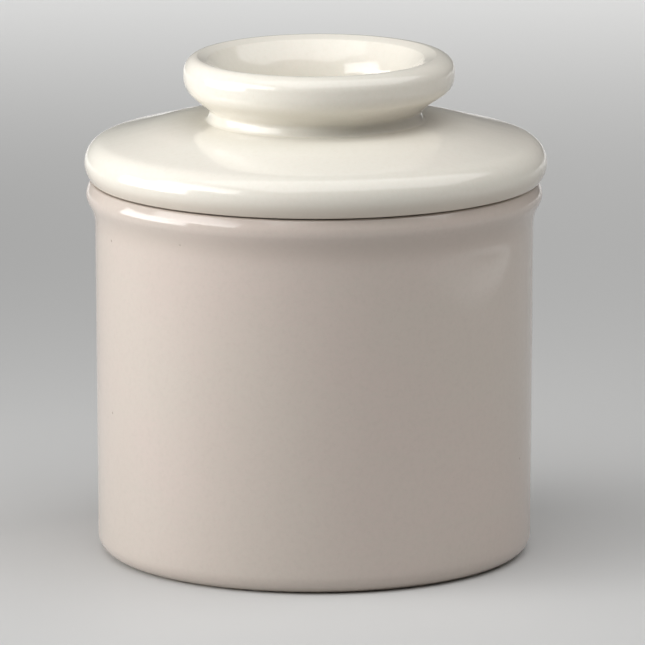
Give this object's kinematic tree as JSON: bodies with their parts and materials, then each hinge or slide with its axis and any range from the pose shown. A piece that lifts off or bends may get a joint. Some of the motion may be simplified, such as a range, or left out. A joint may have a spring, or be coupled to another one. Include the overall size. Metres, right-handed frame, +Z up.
{
  "type": "butter crock",
  "caption": "Glazed stoneware butter crock: a straight-sided crock for water and a domed lid cast in one with a hollow knob and a hanging bell that holds the butter.",
  "frame": {"origin": "on the axis of the crock, at the surface that its foot ring stands on", "axes": "+Z up along the axis that both pieces are turned about; X and Y are any two horizontal directions, as the shape is round"},
  "size_m": [0.1, 0.1, 0.109],
  "materials": {
    "taupe_glaze": "gloss glaze over stoneware, bare on the foot ring",
    "cream_glaze": "gloss glaze over stoneware"
  },
  "bodies": {
    "crock": {"crock": "taupe_glaze"},
    "lid": {"bell_lid": "cream_glaze"}
  },
  "joints": [
    {"name": "lid_lift", "type": "slide", "parent": "crock", "child": "lid", "axis": [0, 0, 1], "range_m": [0, 0.06]}
  ]
}
